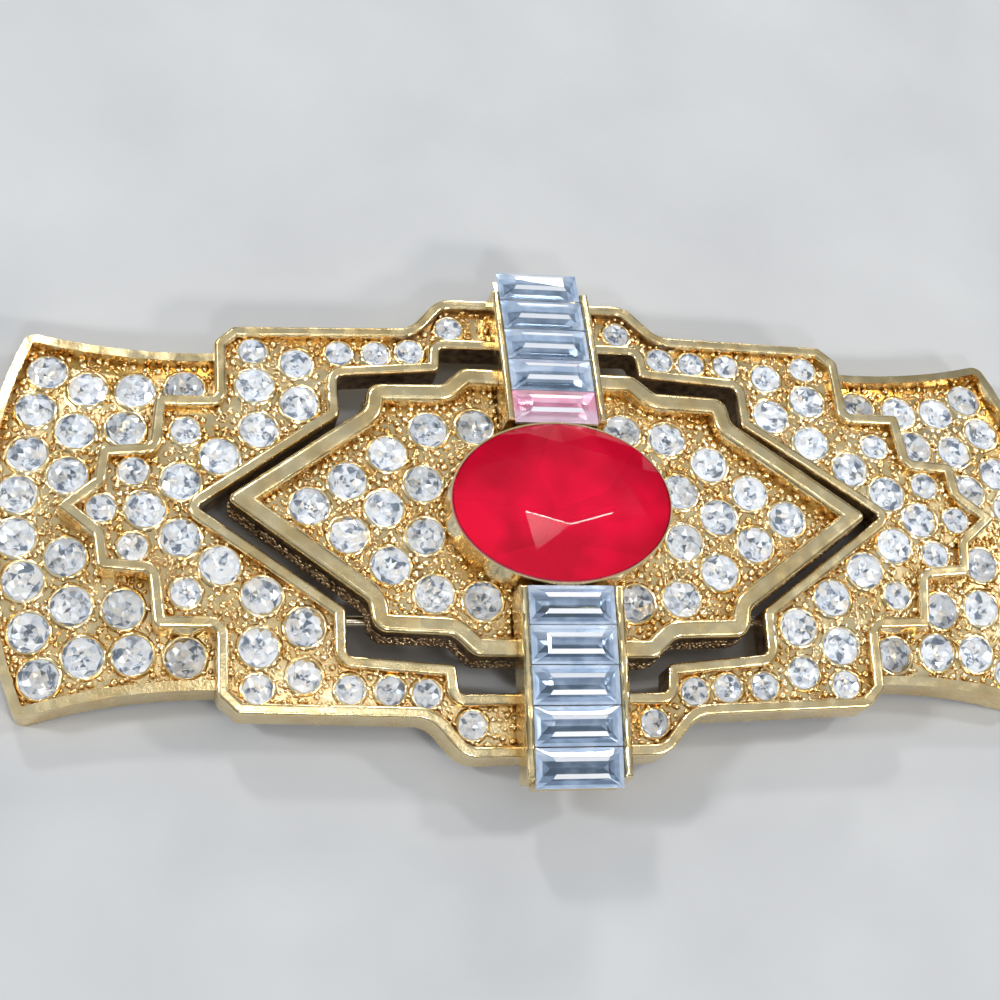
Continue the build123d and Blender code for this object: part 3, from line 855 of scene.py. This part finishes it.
# darker gold for the beads on the panel wall's foot: partly dark skin, partly painted shade
shaded_bead_gold = gold("shaded_bead_gold", (0.72, 0.52, 0.3), (0.36, 0.23, 0.12), rough=(0.25, 0.4))
grain_gold = gold("grain_gold", (0.98, 0.82, 0.5), (0.74, 0.5, 0.19), rough=(0.12, 0.24),
                  painted_crevice_shade=PAINTED_CREVICE_SHADE)
findings = gold("findings_gold", (0.95, 0.76, 0.42), (0.86, 0.62, 0.3), rough=(0.2, 0.38))
wire = gold("pin_wire", (0.9, 0.8, 0.62), (0.8, 0.68, 0.48), rough=(0.18, 0.3))

# each stone's materials stand in the order of the slots CROWN, FOIL and PAINTED_HIGHLIGHT, the last a
# painted highlight
# crystal backing from dark to white by facet: painted reflections
crystal = [glass("crystal_crown", (0.97, 0.99, 1.0)),
           foil("crystal_foil", [(0.2, 0.235, 0.29), (0.8, 0.84, 0.9), WHITE, WHITE],
                rough=0.1, metal=0.6, patch=1500.0, uneven=0.3)]
bar_glass = [glass("baguette_crown", (0.96, 0.98, 1.0)),
             foil("baguette_foil", [(0.10, 0.14, 0.19), (0.49, 0.59, 0.72), (0.96, 0.98, 1.0)],
                  rough=0.12),
             # a white backing on two bevels: a painted highlight
             foil("baguette_bevel_painted_highlight", [(0.85, 0.9, 0.97), (0.95, 0.97, 1.0), WHITE], rough=0.25)]
pink_bar = [glass("pink_bar_crown", (1.0, 0.95, 0.96)),
            foil("pink_bar_foil", [(0.42, 0.18, 0.25), (0.8, 0.4, 0.52), (0.95, 0.72, 0.8)],
                 rough=0.12, fade=(7.3, 8.1, (0.85, 0.87, 0.92))),
            # a pale pink backing on two bevels: a painted highlight
            foil("pink_bar_bevel_painted_highlight", [(0.9, 0.6, 0.68), (0.95, 0.7, 0.78), (1.0, 0.85, 0.9)],
                 rough=0.3, fade=(7.3, 8.1, (0.93, 0.94, 0.97)))]
red = [glass("red_crown", (0.66, 0.0003, 0.12), rough=0.07, ior=1.36),
       foil("red_foil", [(0.3, 0.01, 0.08), (0.66, 0.04, 0.22), (0.95, 0.08, 0.33)],
            rough=0.8, metal=0.15, patch=160.0, uneven=0.22)]

# ---------------------------------------------------------------- building the scene
make_camera()
rng = np.random.default_rng(SEED)

for node, mat in {"outer_frame": frame_gold, "center_panel": panel_gold, "oval_bezel": band_gold,
                  "band_channel_upper": band_gold, "band_channel_lower": band_gold,
                  "pin_joint": findings, "joint_rivet": findings, "catch_housing": findings,
                  "catch_sleeve": findings, "pin_stem": wire}.items():
    nodes[node].data.materials.clear()
    nodes[node].data.materials.append(mat)

frame_seats = []
panel_seats = []
for side in ("left", "right"):
    cut_round_stones("stones_block_" + side, rng, crystal, frame_seats)
    cut_round_stones("stones_small_" + side, rng, crystal, frame_seats)
    cut_round_stones("stones_wing_" + side, rng, crystal, frame_seats)
    cut_round_stones("stones_panel_" + side, rng, crystal, panel_seats)
for row in ("upper", "lower"):
    for n in range(1, 6):
        cut_baguette(f"baguette_{row}_{n}", pink_bar if (row, n) == ("upper", 1) else bar_glass, rng)
cut_oval("oval_stone", red)
seat_lips("seat_lips_frame", frame_seats, grain_gold, rng)
seat_lips("seat_lips_panel", panel_seats, grain_gold, rng)
grains("grains_frame", "outer_frame", frame_seats, grain_gold, rng)
grains("grains_panel", "center_panel", panel_seats, grain_gold, rng)
beaded_wall("panel_beads", "center_panel", 4.2 * MM, shaded_bead_gold, rng)

bpy.context.scene.view_settings.view_transform = "Standard"
make_stage()
make_light()
